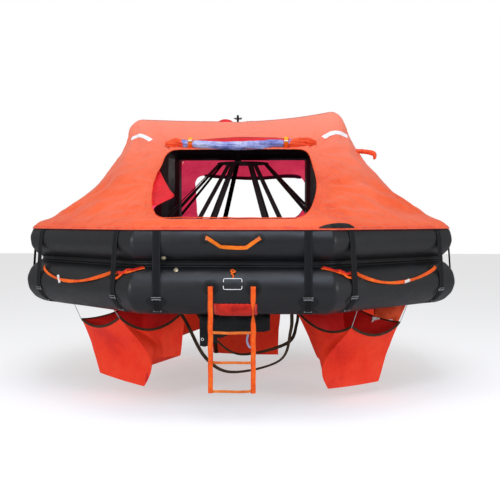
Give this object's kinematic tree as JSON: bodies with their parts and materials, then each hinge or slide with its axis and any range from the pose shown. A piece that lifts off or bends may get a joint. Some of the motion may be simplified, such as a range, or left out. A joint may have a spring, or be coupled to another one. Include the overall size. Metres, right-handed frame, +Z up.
{
  "type": "davit-launched inflatable life raft",
  "caption": "Octagonal inflatable life raft with twin buoyancy tubes, an arched canopy open front and rear, a lifting bridle, ballast pockets and a boarding ladder.",
  "frame": {"origin": "on the raft's upright axis, at the waterline, 0.10 m above the underside of the lower tube", "axes": "+Z up, the front entrance with the ladder faces -Y, +X to the raft's right as seen from the front"},
  "size_m": [3.8004, 3.8452, 2.4809],
  "materials": {
    "black_rubber": "rubber-coated fabric, matt, with a soft sheen",
    "floor_fabric": "coated fabric",
    "canopy_fabric": "orange coated nylon",
    "curtain_cloth": "blue coated nylon lining, rolled",
    "pocket_fabric": "red coated nylon",
    "orange_webbing": "woven webbing",
    "black_webbing": "woven webbing",
    "brown_webbing": "woven webbing",
    "steel": "stainless steel",
    "painted_steel": "painted steel cylinder",
    "brass": "valve brass",
    "plate": "blank flexible plate"
  },
  "bodies": {
    "raft": {"lower_tube": "black_rubber", "upper_tube": "black_rubber", "floor": "floor_fabric", "thwart": "black_rubber", "arch_tube": "black_rubber", "canopy_front": "canopy_fabric", "canopy_rear": "canopy_fabric", "curtain_roll_front": "curtain_cloth", "curtain_roll_rear": "curtain_cloth", "curtain_tie_front_1": "orange_webbing", "curtain_tie_front_2": "orange_webbing", "curtain_tie_rear_1": "orange_webbing", "curtain_tie_rear_2": "orange_webbing", "corner_strap_1": "black_webbing", "corner_strap_2": "black_webbing", "corner_strap_3": "black_webbing", "corner_strap_4": "black_webbing", "corner_strap_5": "black_webbing", "corner_strap_6": "black_webbing", "corner_strap_7": "black_webbing", "corner_strap_8": "black_webbing", "lifting_bridle": "black_webbing", "lifting_sling": "black_webbing", "ladder_anchor_left": "steel", "ladder_anchor_right": "steel", "ballast_pocket_front_left": "pocket_fabric", "ballast_pocket_front_right": "pocket_fabric", "ballast_pocket_rear_left": "pocket_fabric", "ballast_pocket_rear_right": "pocket_fabric", "ballast_pocket_middle": "pocket_fabric", "gas_cylinder": "painted_steel", "cylinder_band_left": "black_webbing", "cylinder_band_right": "black_webbing", "valve_upper": "brass", "valve_lower": "brass", "sign_plate": "plate", "line_pocket": "pocket_fabric", "boarding_handle_front": "orange_webbing", "boarding_handle_rear": "orange_webbing", "grab_line_2": "orange_webbing", "grab_line_3": "orange_webbing", "grab_line_4": "orange_webbing", "grab_line_6": "orange_webbing", "grab_line_7": "orange_webbing", "grab_line_8": "orange_webbing", "righting_web_near": "brown_webbing", "righting_web_far": "brown_webbing", "rain_sleeve": "canopy_fabric"},
    "ladder": {"ladder_strap_left": "orange_webbing", "ladder_strap_right": "orange_webbing", "ladder_rung_1": "orange_webbing", "ladder_rung_2": "orange_webbing", "ladder_rung_3": "orange_webbing"},
    "shackle": {"lifting_shackle": "steel"}
  },
  "joints": [
    {"name": "ladder_swing", "type": "hinge", "parent": "raft", "child": "ladder", "pos_m": [0, -1.914, 0.124], "axis": [-1, 0, 0], "range_deg": [0, 90]},
    {"name": "shackle_lift", "type": "hinge", "parent": "raft", "child": "shackle", "pos_m": [-0.05, 0, 1.623], "axis": [1, 0, 0], "range_deg": [0, 90]}
  ]
}
